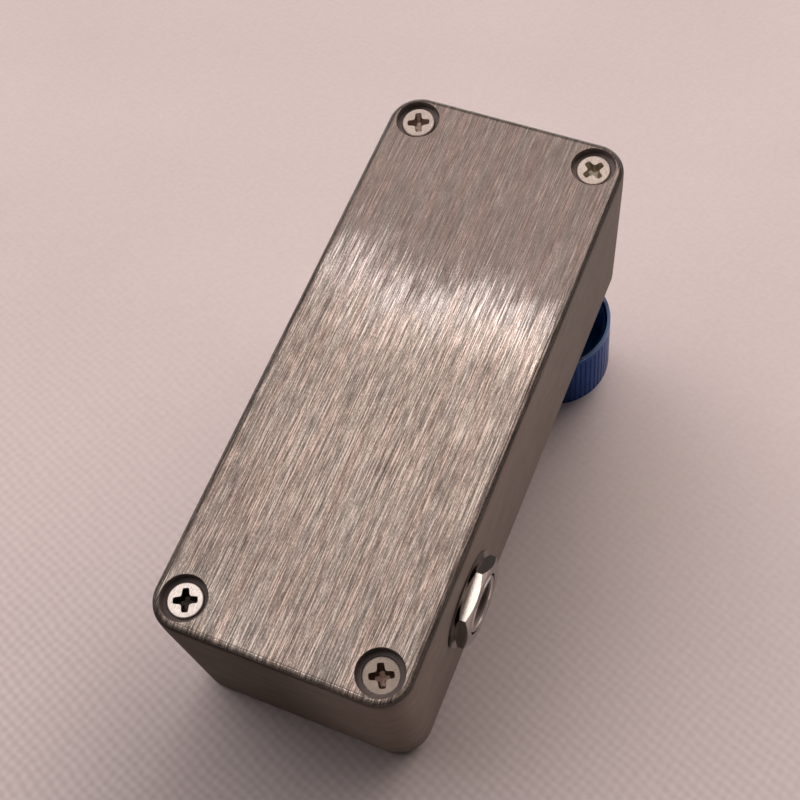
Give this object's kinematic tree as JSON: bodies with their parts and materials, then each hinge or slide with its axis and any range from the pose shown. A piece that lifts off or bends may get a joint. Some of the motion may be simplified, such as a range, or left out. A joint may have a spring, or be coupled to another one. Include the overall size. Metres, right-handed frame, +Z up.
{
  "type": "tube buffer amplifier",
  "caption": "Small die-cast tube buffer amplifier for an instrument: two knobs and a lamp on its face, staggered phone jacks in its sides, a power socket in its end and a screwed base lid.",
  "frame": {"origin": "centre of the lid's outer face, on which the box stands", "axes": "+Z up through the knobs, +Y along the box from the jack end to the knob end, X across its width, with the output jack on the -X side"},
  "size_m": [0.043, 0.0956, 0.0485],
  "materials": {
    "cast_aluminium": "brushed along its length, satin",
    "nickel_steel": "bright nickel plate",
    "blue_anodised": "turned and ribbed, blue anodised",
    "black_steel": "black oxide",
    "pressed_steel": "pressed, zinc plated",
    "zinc_casting": "die cast zinc, dull",
    "shaft_aluminium": "turned",
    "phenolic": "punched phenolic sheet",
    "spring_bronze": "bare spring bronze",
    "tinned_copper": "tinned wire",
    "black_plastic": "moulded",
    "circuit_green": "solder resist over glass fibre",
    "clear_glass": "clear, slightly smoked near the tip",
    "electrode_nickel": "matt carbonised nickel",
    "mica": "clear mica sheet",
    "silicone": "soft silicone rubber",
    "lamp_lens": "clear moulded resin",
    "can_sleeve": "shrunk sleeve over an aluminium can",
    "film_box": "moulded box filled with resin",
    "chip_ceramic": "thick film on ceramic, tinned ends",
    "wire_jacket": "thin plastic insulation"
  },
  "bodies": {
    "case": {"base_lid": "cast_aluminium", "circuit_board": "circuit_green", "coupling_capacitors": "film_box", "enclosure": "cast_aluminium", "filter_capacitor_leads": "tinned_copper", "filter_capacitors": "can_sleeve", "gain_pot_case": "pressed_steel", "gain_pot_neck": "zinc_casting", "gain_pot_terminals": "tinned_copper", "gain_pot_track": "phenolic", "indicator_lamp": "lamp_lens", "input_jack_frame": "nickel_steel", "input_jack_rivets": "nickel_steel", "input_jack_tip_lug": "spring_bronze", "input_jack_wafers": "phenolic", "input_leads": "wire_jacket", "jack_nuts": "nickel_steel", "jack_washers": "nickel_steel", "lamp_bezel": "nickel_steel", "lamp_bezel_nut": "nickel_steel", "lamp_leads": "tinned_copper", "level_pot_case": "pressed_steel", "level_pot_neck": "zinc_casting", "level_pot_terminals": "tinned_copper", "level_pot_track": "phenolic", "lid_screws": "nickel_steel", "output_jack_frame": "nickel_steel", "output_jack_rivets": "nickel_steel", "output_jack_tip_lug": "spring_bronze", "output_jack_wafers": "phenolic", "output_leads": "wire_jacket", "pot_nuts": "nickel_steel", "pot_washers": "nickel_steel", "power_lead": "wire_jacket", "power_socket_housing": "black_plastic", "power_socket_lug": "spring_bronze", "power_socket_nut": "black_plastic", "power_socket_pin": "nickel_steel", "resistors": "chip_ceramic", "supply_chip": "black_plastic", "supply_diode": "black_plastic", "valve_anode": "electrode_nickel", "valve_cathode": "electrode_nickel", "valve_cushions": "silicone", "valve_glass": "clear_glass", "valve_grid": "electrode_nickel", "valve_leads": "tinned_copper", "valve_spacers": "mica", "valve_straps": "pressed_steel"},
    "level_control": {"level_knob": "blue_anodised", "level_set_screw": "black_steel", "level_pot_shaft": "shaft_aluminium", "level_pot_wiper": "spring_bronze"},
    "gain_control": {"gain_knob": "blue_anodised", "gain_set_screw": "black_steel", "gain_pot_shaft": "shaft_aluminium", "gain_pot_wiper": "spring_bronze"},
    "output_spring": {"output_jack_tip_spring": "spring_bronze"},
    "input_spring": {"input_jack_tip_spring": "spring_bronze"},
    "power_contact": {"power_socket_contact": "spring_bronze"}
  },
  "joints": [
    {"name": "level_turn", "type": "hinge", "parent": "case", "child": "level_control", "pos_m": [-0.011, 0.0335, 0.031], "axis": [0, 0, -1], "range_deg": [-140, 140]},
    {"name": "gain_turn", "type": "hinge", "parent": "case", "child": "gain_control", "pos_m": [0.011, 0.0335, 0.031], "axis": [0, 0, -1], "range_deg": [-140, 140]},
    {"name": "output_spring_flex", "type": "hinge", "parent": "case", "child": "output_spring", "pos_m": [-0.0069, -0.0248, 0.02175], "axis": [0, -1, 0], "range_deg": [0, 4.5], "stiffness_Nm_per_rad": 0.2},
    {"name": "input_spring_flex", "type": "hinge", "parent": "case", "child": "input_spring", "pos_m": [0.0069, -0.005, 0.02175], "axis": [0, 1, 0], "range_deg": [0, 4.5], "stiffness_Nm_per_rad": 0.2},
    {"name": "power_contact_flex", "type": "hinge", "parent": "case", "child": "power_contact", "pos_m": [0, 0.03815, 0.01655], "axis": [1, 0, 0], "range_deg": [0, 6], "stiffness_Nm_per_rad": 0.07}
  ]
}
